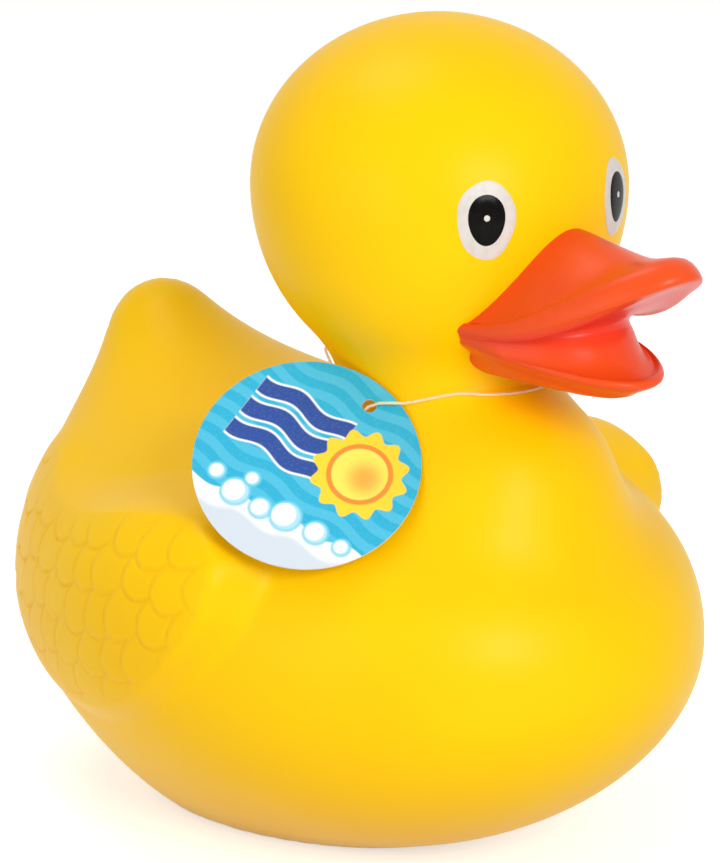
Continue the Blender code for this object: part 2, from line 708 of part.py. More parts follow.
def smooth_closed(points, count):
    # Even points along a smooth closed curve through the given ones
    dense = closed_curve(points, 24)
    step = np.linalg.norm(np.roll(dense, -1, axis=0) - dense, axis=1)
    travelled = np.concatenate(([0], np.cumsum(step)))
    wanted = np.linspace(0, travelled[-1], count, endpoint=False)
    looped = np.vstack((dense, dense[:1]))
    return np.stack([np.interp(wanted, travelled, looped[:, axis]) for axis in range(3)], -1)


def loop_route():
    face, across, up = tag_axes()
    centre, hole = tag_place()
    clear = LOOP_RADIUS + GAP
    middle = HEAD_CENTRE[2] - (LOOP_REAR_DROP + LOOP_FRONT_DROP) / 2
    tilt = (LOOP_FRONT_DROP - LOOP_REAR_DROP) / 2
    start = np.degrees(np.arctan2(hole[1], hole[0] - NECK_X))
    ring = []
    for degrees in np.arange(start + LOOP_PARTING[0], start + LOOP_PARTING[1], LOOP_PACE):
        turn = radians(degrees)
        outward = np.array((cos(turn), sin(turn), 0.0))
        far = np.array((NECK_X, 0, middle - tilt * cos(turn))) + outward * HEIGHT / 2
        ring.append(drop_onto(far[None], -outward, bare_field, clear)[0])
    through = [hole - face * LOOP_STANDOFF - across * LOOP_SLANT, hole,
               hole + face * LOOP_STANDOFF * 0.7 + across * LOOP_SLANT,
               hole + face * LOOP_STANDOFF * 0.6 + across * LOOP_LEAN]
    return np.array(ring + through)


def make_loop(group, elastic):
    route = smooth_closed(loop_route(), LOOP_STEPS)
    curve = bpy.data.curves.new("tag_loop", "CURVE")
    curve.dimensions = "3D"
    curve.bevel_depth = LOOP_RADIUS
    curve.bevel_resolution = 2
    line = curve.splines.new("POLY")
    line.points.add(len(route) - 1)
    for point, place in zip(line.points, route):
        point.co = (*place, 1.0)
    line.use_cyclic_u = True
    piece = bpy.data.objects.new("tag_loop", curve)
    group.objects.link(piece)
    curve.materials.append(elastic)
    return piece


def main():
    clear_scene()
    group = new_collection("rubber_duck")
    tools = new_collection("forms")
    yellow = principled("yellow_vinyl", (1.0, 0.68, 0.0), 0.42)
    orange = principled("orange_paint", (0.87, 0.09, 0.02), 0.32)
    white = principled("white_print", (0.86, 0.82, 0.79), 0.35)
    black = principled("black_print", (0.006, 0.005, 0.004), 0.18)
    plastic = principled("squeaker_plastic", (0.85, 0.85, 0.82), 0.4)
    reed = principled("reed_plastic", (0.75, 0.75, 0.72), 0.35)
    card = principled("tag_card", (0.05, 0.50, 0.75), 0.3)
    elastic = principled("loop_elastic", (0.80, 0.76, 0.62), 0.5)
    bare_skin = skin("bare_skin", outer_field, 0.0, SKIN_VOXEL, tools, SKIN_KEPT)
    bare_skin.hide_render = True
    bare_skin.display_type = "WIRE"
    make_shell(group, tools, bare_skin, yellow)
    make_bill_paint(group, tools, bare_skin, orange)
    make_eyes(group, white, black)
    make_squeaker(group, plastic, reed)
    make_tag(group, tools, card)
    make_loop(group, elastic)
    for piece in group.objects:
        if piece.type == "MESH":
            piece.data.shade_smooth()
            piece.data.set_sharp_from_angle(angle=radians(40))


main()
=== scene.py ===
# A large vinyl bath duck with a painted bill and printed eyes, and a round swing tag on an elastic loop.
# Metres, +X towards the bill, +Z up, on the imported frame.

import bpy
import bmesh
import numpy as np
from math import cos, sin, pi, radians
from mathutils import Matrix, Vector


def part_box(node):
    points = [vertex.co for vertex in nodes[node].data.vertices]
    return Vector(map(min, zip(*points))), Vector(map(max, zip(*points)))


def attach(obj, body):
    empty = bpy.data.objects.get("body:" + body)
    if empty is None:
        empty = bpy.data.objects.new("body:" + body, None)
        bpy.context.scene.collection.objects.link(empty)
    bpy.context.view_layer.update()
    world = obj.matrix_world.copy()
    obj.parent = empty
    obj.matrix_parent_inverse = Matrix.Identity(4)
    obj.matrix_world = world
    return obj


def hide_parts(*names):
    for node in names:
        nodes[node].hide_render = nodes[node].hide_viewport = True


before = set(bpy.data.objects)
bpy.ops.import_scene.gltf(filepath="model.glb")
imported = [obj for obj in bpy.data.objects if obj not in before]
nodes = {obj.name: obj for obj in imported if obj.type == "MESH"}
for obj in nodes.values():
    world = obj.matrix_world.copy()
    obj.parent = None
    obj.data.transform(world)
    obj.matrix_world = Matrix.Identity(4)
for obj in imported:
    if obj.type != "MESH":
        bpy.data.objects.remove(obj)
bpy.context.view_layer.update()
scene = bpy.context.scene


# Camera and light

camera = {"azimuth": 49.0, "elevation": 15.0, "distance": 1.2, "aim": (0.0, 0.0, 0.125),
          "right": -0.00166, "up": -0.00490, "metresPerPixel": 0.00029965, "imageHeight": 863, "sensor": 24}


def addCamera():
    turn, lift = radians(camera["azimuth"]), radians(camera["elevation"])
    back = Vector((sin(turn) * cos(lift), -cos(turn) * cos(lift), sin(lift)))
    right = Vector((cos(turn), sin(turn), 0))
    up = back.cross(right)
    aim = Vector(camera["aim"]) + right * camera["right"] + up * camera["up"]
    data = bpy.data.cameras.new("camera")
    eye = bpy.data.objects.new("camera", data)
    scene.collection.objects.link(eye)
    towards = (-back).to_track_quat("-Z", "Y")
    eye.matrix_world = Matrix.LocRotScale(aim + back * camera["distance"], towards, None)
    data.sensor_fit = "VERTICAL"
    data.sensor_height = camera["sensor"]
    data.lens = camera["sensor"] * camera["distance"] / (camera["metresPerPixel"] * camera["imageHeight"])
    scene.camera = eye


lamps = (("keyLamp", (1.00, -0.30, 0.55), 0.45, 6.2),
         ("fillLamp", (0.10, -1.10, 0.30), 0.80, 2.2),
         ("topLamp", (-0.30, -0.15, 1.05), 0.50, 2.2))
room = {"lampAim": (0.02, 0, 0.12), "colour": (1.0, 0.985, 0.96, 1), "strength": 0.50,
        "backdrop": (1, 1, 1, 1)}


def addLights():
    for name, place, size, power in lamps:
        data = bpy.data.lights.new(name, "AREA")
        data.shape = "DISK"
        data.size = size
        data.energy = power
        lamp = bpy.data.objects.new(name, data)
        scene.collection.objects.link(lamp)
        toDuck = Vector(room["lampAim"]) - Vector(place)
        lamp.matrix_world = Matrix.LocRotScale(Vector(place), toDuck.to_track_quat("-Z", "Y"), None)
    world = bpy.data.worlds.new("studio")
    scene.world = world
    world.use_nodes = True
    light = world.node_tree.nodes["Background"]
    light.inputs["Color"].default_value = room["colour"]
    light.inputs["Strength"].default_value = room["strength"]
    # The camera and the highlights see plain white where the light of the room comes from
    white = world.node_tree.nodes.new("ShaderNodeBackground")
    white.inputs["Color"].default_value = room["backdrop"]
    path = world.node_tree.nodes.new("ShaderNodeLightPath")
    either = world.node_tree.nodes.new("ShaderNodeMixShader")
    seen = path.outputs["Is Camera Ray"]
    for ray in ("Is Glossy Ray", "Is Transmission Ray"):
        most = world.node_tree.nodes.new("ShaderNodeMath")
        most.operation = "MAXIMUM"
        world.node_tree.links.new(seen, most.inputs[0])
        world.node_tree.links.new(path.outputs[ray], most.inputs[1])
        seen = most.outputs[0]
    world.node_tree.links.new(seen, either.inputs[0])
    world.node_tree.links.new(light.outputs[0], either.inputs[1])
    world.node_tree.links.new(white.outputs[0], either.inputs[2])
    world.node_tree.links.new(either.outputs[0], world.node_tree.nodes["World Output"].inputs["Surface"])


# Shader maths as Python expressions

class Wire:
    def __init__(self, graph, socket):
        self.graph = graph
        self.socket = socket

    def maths(self, operation, *others, clamp=False):
        values = {0: self}
        for i, other in enumerate(others):
            values[i + 1] = other
        return self.graph.add("ShaderNodeMath", {"operation": operation, "use_clamp": clamp}, values)["Value"]

    def __add__(self, other):
        return self.maths("ADD", other)

    def __radd__(self, other):
        return self.maths("ADD", other)

    def __sub__(self, other):
        return self.maths("SUBTRACT", other)

    def __rsub__(self, other):
        return self.graph.add("ShaderNodeMath", {"operation": "SUBTRACT"}, {0: other, 1: self})["Value"]

    def __mul__(self, other):
        return self.maths("MULTIPLY", other)

    def __rmul__(self, other):
        return self.maths("MULTIPLY", other)

    def __pow__(self, other):
        return self.maths("POWER", other)

    def __abs__(self):
        return self.maths("ABSOLUTE")

    def clamp(self):
        return self.maths("ADD", 0.0, clamp=True)

    def most(self, other):
        return self.maths("MAXIMUM", other)

    def sine(self):
        return self.maths("SINE")

    def ramp(self, start, end):
        # 0 before start and 1 after end, eased
        settings = {"interpolation_type": "SMOOTHSTEP"}
        values = {"Value": self, "From Min": start, "From Max": end}
        return self.graph.add("ShaderNodeMapRange", settings, values)["Result"]


class Graph:
    def __init__(self, name):
        self.material = bpy.data.materials.new(name)
        self.material.use_nodes = True
        self.tree = self.material.node_tree
        self.shader = self.tree.nodes["Principled BSDF"]

    def add(self, kind, settings=None, values=None):
        node = self.tree.nodes.new(kind)
        for name, value in (settings or {}).items():
            if name == "stops":
                stops = node.color_ramp.elements
                while len(stops) < len(value):
                    stops.new(0.5)
                for stop, (place, colour) in zip(stops, value):
                    stop.position = place
                    stop.color = colour
            else:
                setattr(node, name, value)
        for name, value in (values or {}).items():
            self.feed(node.inputs[name], value)
        return {socket.name: Wire(self, socket) for socket in node.outputs if socket.enabled}

    def feed(self, socket, value):
        if isinstance(value, Wire):
            self.tree.links.new(value.socket, socket)
        elif isinstance(value, (tuple, list)) and len(value) == 3 and socket.type == "RGBA":
            socket.default_value = (*value, 1.0)
        else:
            socket.default_value = value

    def mix(self, factor, first, second):
        node = self.tree.nodes.new("ShaderNodeMix")
        node.data_type = "RGBA"
        self.feed(node.inputs["Factor"], factor)
        self.feed([s for s in node.inputs if s.name == "A" and s.type == "RGBA"][0], first)
        self.feed([s for s in node.inputs if s.name == "B" and s.type == "RGBA"][0], second)
        return Wire(self, [s for s in node.outputs if s.name == "Result" and s.type == "RGBA"][0])

    def noise(self, scale, detail=2.0, roughness=0.5):
        where = self.add("ShaderNodeTexCoord")["Object"]
        values = {"Vector": where, "Scale": scale, "Detail": detail, "Roughness": roughness}
        return self.add("ShaderNodeTexNoise", None, values)["Fac"]

    def attribute(self, name):
        return self.add("ShaderNodeAttribute", {"attribute_name": name})["Fac"]

    def bump(self, height, strength, distance):
        values = {"Height": height, "Strength": strength, "Distance": distance}
        return self.add("ShaderNodeBump", None, values)["Normal"]

    def finish(self, **values):
        for name, value in values.items():
            self.feed(self.shader.inputs[name.replace("_", " ")], value)
        return self.material


# Shape of the casting, as in the solid

body = {"x": -0.003, "front": 0.117, "back": 0.119, "halfWidth": 0.089, "waist": 0.065, "rise": 0.062,
        "below": 0.005, "planPower": 2.02, "lowPower": 1.81, "topPower": 2.27}
tail = {"rootX": -0.041, "rootZ": 0.026, "rootRadius": 0.015, "tipX": -0.099, "tipZ": 0.138,
        "tipRadius": 0.0046, "blend": 0.078}
neck = {"throatX": 0.056, "throatZ": 0.110, "throatRadius": 0.0375, "throatBlend": 0.013, "x": 0.034,
        "footZ": 0.118, "topZ": 0.150, "radius": 0.030, "blend": 0.014, "lobeHalfHeight": 0.04}
head = {"x": 0.0316, "front": 0.0565, "back": 0.0545, "halfWidth": 0.0540, "rise": 0.0491, "drop": 0.0581,
        "blend": 0.010, "top": 0.250}
wing = {"x": -0.036, "z": 0.078, "halfLength": 0.073, "halfHeight": 0.037, "rearRelief": 0.0012,
        "frontRelief": 0.0035, "shoulderRelief": 0.0090, "edge": 0.008, "edgeOutside": 0.3, "rearGap": 0.014,
        "rearFade": 0.026, "curveSteps": 4, "chartLow": (-0.130, 0.020), "chartHigh": (0.060, 0.140),
        "chartPace": 0.0005,
        "outline": ((1.03, 0.30), (0.94, -0.03), (0.78, -0.36), (0.55, -0.70), (0.22, -0.96), (-0.15, -1.02),
                    (-0.50, -0.86), (-0.82, -0.50), (-0.99, 0.00), (-0.97, 0.52), (-0.82, 0.86),
                    (-0.62, 0.93), (-0.35, 0.80), (-0.10, 0.78), (0.12, 0.86), (0.42, 1.00), (0.78, 1.06),
                    (1.02, 0.76))}
skin = {"voxel": 0.0030, "baseRound": 0.0012, "ventX": -0.030, "ventRadius": 0.0080, "recessRadius": 0.0105,
        "recessDepth": 0.0014, "ventDepth": 0.016, "smoothPasses": 3, "smoothing": 0.5, "lastRounds": 6,
        "tailLobes": 7, "refinePasses": 2, "refineMargin": 0.0005, "sharpAngle": 60}
headCentre = np.array((head["x"], 0.0, head["top"] - head["rise"]))


def smoothMin(first, second, blend):
    share = np.clip(0.5 + 0.5 * (second - first) / blend, 0, 1)
    return second + (first - second) * share - blend * share * (1 - share)


def egg(points, centre, back, front, halfWidth, drop, rise, planPower=2.0, lowPower=2.0, topPower=2.0):
    x, y, z = np.moveaxis(points - np.asarray(centre), -1, 0)
    length = np.where(x > 0, front, back)
    height = np.where(z > 0, rise, drop)
    power = np.where(z > 0, topPower, lowPower)
    plan = (np.abs(x / length) ** planPower + np.abs(y / halfWidth) ** planPower + 1e-12) ** (1 / planPower)
    level = (plan ** power + np.abs(z / height) ** power + 1e-12) ** (1 / power)
    slope = np.sqrt((x / length ** 2) ** 2 + (y / halfWidth ** 2) ** 2 + (z / height ** 2) ** 2) + 1e-6
    reach = np.sqrt((x / length) ** 2 + (y / halfWidth) ** 2 + (z / height) ** 2) + 1e-9
    return (level - 1) * reach / slope


def roundCone(points, start, end, startRadius, endRadius):
    axis = np.asarray(end) - np.asarray(start)
    length2 = axis @ axis
    taper = startRadius - endRadius
    flank = length2 - taper * taper
    offset = points - np.asarray(start)
    along = offset @ axis
    beyond = along - length2
    side = offset * length2 - along[..., None] * axis
    side2 = (side * side).sum(-1)
    limit = np.sign(taper) * taper * taper * side2
    atEnd = np.sqrt(side2 + beyond ** 2 * length2) / length2 - endRadius
    atStart = np.sqrt(side2 + along ** 2 * length2) / length2 - startRadius
    atFlank = (np.sqrt(side2 * flank / length2) + along * taper) / length2 - startRadius
    pastEnd = np.sign(beyond) * flank * beyond ** 2 * length2 > limit
    beforeStart = np.sign(along) * flank * along ** 2 * length2 < limit
    return np.where(pastEnd, atEnd, np.where(beforeStart, atStart, atFlank))


def headField(points):
    return egg(points, headCentre, head["back"], head["front"], head["halfWidth"], head["drop"], head["rise"])


def bareField(points):
    trunk = egg(points, (body["x"], 0, body["waist"]), body["back"], body["front"], body["halfWidth"],
                body["waist"] + body["below"], body["rise"], body["planPower"], body["lowPower"],
                body["topPower"])
    rump = roundCone(points, (tail["rootX"], 0, tail["rootZ"]), (tail["tipX"], 0, tail["tipZ"]),
                     tail["rootRadius"], tail["tipRadius"])
    throat = np.linalg.norm(points - (neck["throatX"], 0, neck["throatZ"]), axis=-1) - neck["throatRadius"]
    column = roundCone(points, (neck["x"], 0, neck["footZ"]), (neck["x"], 0, neck["topZ"]),
                       neck["radius"], neck["radius"])
    whole = smoothMin(trunk, rump, tail["blend"])
    whole = smoothMin(whole, throat, neck["throatBlend"])
    whole = smoothMin(whole, column, neck["blend"])
    return smoothMin(whole, headField(points), head["blend"])


def closedCurve(corners, steps):
    corners = np.asarray(corners, float)
    share = np.arange(steps)[:, None] / steps
    curve = []
    for i in range(len(corners)):
        before, here, after, beyond = (corners[(i + k) % len(corners)] for k in (-1, 0, 1, 2))
        curve.append(0.5 * (2 * here + (after - before) * share
                            + (2 * before - 5 * here + 4 * after - beyond) * share ** 2
                            + (3 * here - 3 * after + beyond - before) * share ** 3))
    return np.vstack(curve)


def distanceInside(points, outline):
    nearest = np.full(len(points), np.inf)
    inside = np.zeros(len(points), bool)
    for start, end in zip(outline, np.roll(outline, -1, axis=0)):
        edge = end - start
        share = np.clip((points - start) @ edge / (edge @ edge), 0, 1)
        nearest = np.minimum(nearest, np.linalg.norm(points - start - share[:, None] * edge, axis=1))
        crosses = (start[1] > points[:, 1]) != (end[1] > points[:, 1])
        rise = edge[1] if edge[1] != 0 else 1.0
        inside ^= crosses & (points[:, 0] < start[0] + (points[:, 1] - start[1]) * edge[0] / rise)
    return np.where(inside, nearest, -nearest)


def ease(share):
    share = np.clip(share, 0, 1)
    return share * share * (3 - 2 * share)


class Chart:
    # A table of heights over the flank's flat view, read between its points
    def __init__(self, low, high, pace, heights):
        self.low = np.asarray(low)
        self.pace = pace
        xs = np.arange(low[0], high[0], pace)
        zs = np.arange(low[1], high[1], pace)
        grid = np.stack(np.meshgrid(xs, zs, indexing="ij"), -1)
        self.table = heights(grid.reshape(-1, 2)).reshape(grid.shape[:2])

    def read(self, flat):
        place = (flat - self.low) / self.pace
        cell = np.clip(np.floor(place).astype(int), 0, np.array(self.table.shape) - 2)
        part = np.clip(place - cell, 0, 1)
        i, k = cell.T
        u, v = part.T
        t = self.table
        return (t[i, k] * (1 - u) * (1 - v) + t[i + 1, k] * u * (1 - v)
                + t[i, k + 1] * (1 - u) * v + t[i + 1, k + 1] * u * v)


wingCurve = closedCurve(wing["outline"], wing["curveSteps"]) * (wing["halfLength"], wing["halfHeight"])
wingCurve = wingCurve + (wing["x"], wing["z"])
wingDepth = Chart(wing["chartLow"], wing["chartHigh"], wing["chartPace"],
                  lambda flat: distanceInside(flat, wingCurve))


def wingRelief(points):
    depth = wingDepth.read(points[..., (0, 2)].reshape(-1, 2)).reshape(points.shape[:-1])
    side = ease((np.abs(points[..., 1]) - wing["rearGap"]) / wing["rearFade"])
    along = ease((points[..., 0] - wing["x"] + wing["halfLength"]) / (2 * wing["halfLength"]))
    upward = ease((points[..., 2] - wing["z"] + wing["halfHeight"]) / (2 * wing["halfHeight"]))
    relief = wing["rearRelief"] + (wing["frontRelief"] + wing["shoulderRelief"] * upward) * along
    return relief * ease(depth / wing["edge"] + wing["edgeOutside"]) * side


def castingField(points):
    outer = bareField(points) - wingRelief(points)
    return -smoothMin(-outer, points[..., 2], skin["baseRound"])


def slopeOf(field, points, step=0.0001):
    return np.stack([(field(points + step * axis) - field(points - step * axis)) / (2 * step)
                     for axis in np.eye(3)], -1)


def normalsOf(field, points):
    slope = slopeOf(field, points)
    return slope / (np.linalg.norm(slope, axis=-1, keepdims=True) + 1e-9)


def settle(points, field, rounds=5, stride=0.004):
    for _ in range(rounds):
        slope = slopeOf(field, points)
        steep2 = (slope * slope).sum(-1, keepdims=True) + 1e-6
        step = field(points)[:, None] * slope / steep2
        size = np.linalg.norm(step, axis=1, keepdims=True) + 1e-12
        points = points - step * np.minimum(1, stride / size)
    return points


def dropOnto(points, direction, field, rounds=90, share=0.7, back=0.004, ahead=0.02):
    for _ in range(rounds):
        points = points + np.clip(field(points) * share, -back, ahead)[:, None] * direction
    return points


# Feathers engraved in the wings: rounded scales whose tips point to the tail, each column behind the next

feathers = {"pitch": 0.0112, "height": 0.0145, "bulge": 0.0125, "first": -0.074, "columns": 15,
            "turn": radians(38), "groove": 0.00032, "grooveWidth": 0.00060, "step": 0.00040,
            "stepLength": 0.0055, "margin": 0.0040, "fade": 0.0060, "tipPower": 2.4, "wander": 0.0014,
            "wanderTurn": 2.4, "wave": 0.0010, "waveTurn": 170, "shift": 0.0016, "shiftTurn": 1.7,
            "farBeyond": 0.02, "chartLow": (-0.130, 0.030), "chartHigh": (0.050, 0.125), "chartPace": 0.0003}


def tipProfile(share):
    # How far a scale's round edge reaches to the tail, from one side (0) to the other (1)
    return np.sqrt(np.clip(1 - np.abs(2 * share - 1) ** feathers["tipPower"], 0, 1))


def featherHeights(flat):
    x, z = (flat - (wing["x"], wing["z"])).T
    along = x * cos(feathers["turn"]) + z * sin(feathers["turn"])
    side = z * cos(feathers["turn"]) - x * sin(feathers["turn"])
    owner = np.full(len(x), -1)
    beyond = np.full(len(x), feathers["farBeyond"])
    for k in range(feathers["columns"]):
        wander = feathers["wander"] * sin(k * feathers["wanderTurn"])
        wander = wander + feathers["wave"] * np.sin(side * feathers["waveTurn"] + k)
        shift = feathers["shift"] * sin(k * feathers["shiftTurn"])
        level = (side + (k % 2) * feathers["height"] / 2 + shift) / feathers["height"]
        share = level - np.floor(level)
        edge = feathers["first"] + k * feathers["pitch"] + wander - feathers["bulge"] * tipProfile(share)
        mine = along > edge
        owner = np.where(mine, k * 100 + np.floor(level).astype(int), owner)
        beyond = np.where(mine, along - edge, beyond)
    return owner, beyond


def featherTable(flat):
    # The groove between scales is found from the nearest border, and each scale rises towards its tip
    owner, beyond = featherHeights(flat)
    pace = feathers["chartPace"]
    reach = int(round(feathers["grooveWidth"] * 3 / pace))
    shape = featherShape
    owner = owner.reshape(shape)
    border = np.zeros(shape, bool)
    border[:-1] |= owner[:-1] != owner[1:]
    border[:, :-1] |= owner[:, :-1] != owner[:, 1:]
    nearest2 = np.full(shape, 1e3)
    for i in range(-reach, reach + 1):
        for k in range(-reach, reach + 1):
            moved = np.roll(np.roll(border, i, 0), k, 1)
            nearest2 = np.where(moved, np.minimum(nearest2, (i * i + k * k) * pace ** 2), nearest2)
    groove = np.exp(-nearest2 / feathers["grooveWidth"] ** 2)
    rise = np.exp(-beyond.reshape(shape) / feathers["stepLength"])
    return (feathers["step"] * rise - feathers["groove"] * groove).ravel()


featherShape = tuple(len(np.arange(low, high, feathers["chartPace"]))
                     for low, high in zip(feathers["chartLow"], feathers["chartHigh"]))
featherChart = Chart(feathers["chartLow"], feathers["chartHigh"], feathers["chartPace"], featherTable)


def featherRelief(points):
    flat = points[:, (0, 2)]
    inner = ease((wingDepth.read(flat) - feathers["margin"]) / feathers["fade"])
    side = ease((np.abs(points[:, 1]) - wing["rearGap"] - wing["edge"]) / feathers["fade"])
    return featherChart.read(flat) * inner * side


# Mesh helpers

def objectFrom(name, mesh, *materials):
    piece = bpy.data.objects.new(name, mesh)
    scene.collection.objects.link(piece)
    for material in materials:
        mesh.materials.append(material)
    return piece


def meshFrom(name, points, faces):
    mesh = bpy.data.meshes.new(name)
    mesh.from_pydata([tuple(point) for point in points], [], faces)
    work = bmesh.new()
    work.from_mesh(mesh)
    bmesh.ops.recalc_face_normals(work, faces=work.faces)
    work.to_mesh(mesh)
    work.free()
    return mesh


def getPoints(mesh):
    points = np.empty(len(mesh.vertices) * 3)
    mesh.vertices.foreach_get("co", points)
    return points.reshape(-1, 3)


def setPoints(mesh, points):
    mesh.vertices.foreach_set("co", np.ascontiguousarray(points, float).ravel())
    mesh.update()


def setAttribute(mesh, name, values):
    layer = mesh.attributes.new(name, "FLOAT", "POINT")
    layer.data.foreach_set("value", np.ascontiguousarray(values, np.float32))


def bake(piece):
    bpy.context.view_layer.update()
    graph = bpy.context.evaluated_depsgraph_get()
    mesh = bpy.data.meshes.new_from_object(piece.evaluated_get(graph))
    piece.modifiers.clear()
    piece.data = mesh
    return piece


def cut(piece, tool):
    boolean = piece.modifiers.new("cut", "BOOLEAN")
    boolean.operation = "DIFFERENCE"
    boolean.solver = "EXACT"
    boolean.object = tool
    bake(piece)
    bpy.data.objects.remove(tool, do_unlink=True)


def smooth(piece, sharpAngle=None):
    piece.data.shade_smooth()
    if sharpAngle is not None:
        piece.data.set_sharp_from_angle(angle=radians(sharpAngle))


def finishPiece(piece, slot, *replaced):
    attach(piece, "root")
    if replaced:
        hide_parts(*replaced)


def cylinder(name, centre, radius, depth, segments=96):
    work = bmesh.new()
    bmesh.ops.create_cone(work, cap_ends=True, segments=segments, radius1=radius, radius2=radius, depth=depth)
    bmesh.ops.translate(work, vec=Vector(centre), verts=work.verts)
    mesh = bpy.data.meshes.new(name)
    work.to_mesh(mesh)
    work.free()
    return objectFrom(name, mesh)


# Vinyl casting

# The second vinyl colour is both the vinyl's own mottled tone and the painted shade in the feather grooves
vinyl = {"colour": (1.0, 0.60, 0.001), "deep": (0.98, 0.51, 0.001), "roughness": 0.38}


def vinylMaterial():
    graph = Graph("yellowVinyl")
    mottle = graph.noise(22.0, 3.0)
    grain = graph.noise(2600.0, 2.0, 0.6)
    waves = graph.noise(70.0, 2.0)
    # Painted shade: the bottoms of the feather grooves take the deeper colour, while the mottle is the
    # vinyl's own uneven tone
    groove = graph.attribute("groove")
    toneAndShade = (mottle.ramp(0.35, 0.75) * 0.25 + groove * 0.75).clamp()
    height = grain * 0.35 + waves * 1.0
    return graph.finish(Base_Color=graph.mix(toneAndShade, vinyl["colour"], vinyl["deep"]),
                        Roughness=vinyl["roughness"] + (mottle - 0.5) * 0.10 + groove * 0.08,
                        Normal=graph.bump(height, 0.10, 0.0006), Specular_IOR_Level=0.10)


def lobe(work, centre, radii):
    ball = bmesh.ops.create_uvsphere(work, u_segments=64, v_segments=32, radius=1.0)["verts"]
    bmesh.ops.scale(work, vec=Vector(radii), verts=ball)
    bmesh.ops.translate(work, vec=Vector(centre), verts=ball)


def makeCasting():
    work = bmesh.new()
    # Rough lobes become one even mesh, which then settles on the true surface
    lobe(work, (body["x"], 0, body["waist"]),
         (body["front"], body["halfWidth"], body["waist"] + body["below"]))
    lobe(work, headCentre, (head["front"], head["halfWidth"], head["rise"]))
    lobe(work, (neck["x"], 0, (neck["footZ"] + neck["topZ"]) / 2),
         (neck["radius"], neck["radius"], neck["lobeHalfHeight"]))
    for share in np.linspace(0, 1, skin["tailLobes"]):
        x = tail["rootX"] + (tail["tipX"] - tail["rootX"]) * share
        z = body["waist"] + (tail["tipZ"] - body["waist"]) * share
        radius = body["halfWidth"] / 2 * (1 - share) + tail["tipRadius"] * 2 * share
        lobe(work, (x, 0, z), (radius, radius, radius))
    mesh = bpy.data.meshes.new("duckCasting")
    work.to_mesh(mesh)
    work.free()
    casting = objectFrom("duckCasting", mesh)
    remesh = casting.modifiers.new("evenFaces", "REMESH")
    remesh.mode = "VOXEL"
    remesh.voxel_size = skin["voxel"]
    bake(casting)
    for _ in range(skin["smoothPasses"]):
        setPoints(casting.data, settle(getPoints(casting.data), castingField))
        work = bmesh.new()
        work.from_mesh(casting.data)
        bmesh.ops.smooth_vert(work, verts=work.verts, factor=skin["smoothing"],
                              use_axis_x=True, use_axis_y=True, use_axis_z=True)
        work.to_mesh(casting.data)
        work.free()
    refineWings(casting.data)
    setPoints(casting.data, settle(getPoints(casting.data), castingField, skin["lastRounds"]))
    points = getPoints(casting.data)
    relief = featherRelief(points)
    setPoints(casting.data, points + normalsOf(castingField, points) * relief[:, None])
    print("casting: %d faces" % len(casting.data.polygons))
    recess, vent = skin["recessDepth"], skin["ventDepth"]
    cut(casting, cylinder("recessForm", (skin["ventX"], 0, 0), skin["recessRadius"], recess * 2))
    cut(casting, cylinder("ventForm", (skin["ventX"], 0, 0), skin["ventRadius"], vent * 2))
    final = getPoints(casting.data)
    # How deep each point lies in a feather groove, kept for the painted shade in the grooves
    groove = np.clip(-featherRelief(final) / feathers["groove"], 0, 1)
    setAttribute(casting.data, "groove", groove)
    casting.data.materials.clear()
    casting.data.materials.append(vinylMaterial())
    smooth(casting, skin["sharpAngle"])
    finishPiece(casting, "yellow_vinyl", "duck_shell")


def refineWings(mesh):
    # Finer faces where the feathers are
    work = bmesh.new()
    work.from_mesh(mesh)
    for _ in range(skin["refinePasses"]):
        points = np.array([vertex.co for vertex in work.verts])
        inWing = wingDepth.read(points[:, (0, 2)]) > skin["refineMargin"]
        inside = inWing & (np.abs(points[:, 1]) > wing["rearGap"])
        work.verts.ensure_lookup_table()
        edges = [edge for edge in work.edges if inside[edge.verts[0].index] and inside[edge.verts[1].index]]
        bmesh.ops.subdivide_edges(work, edges=edges, cuts=1, use_grid_fill=True)
        work.verts.index_update()
    work.to_mesh(mesh)
    work.free()


# Bill: rings from one mouth corner round the front to the other, as in the solid but for the sunk corners

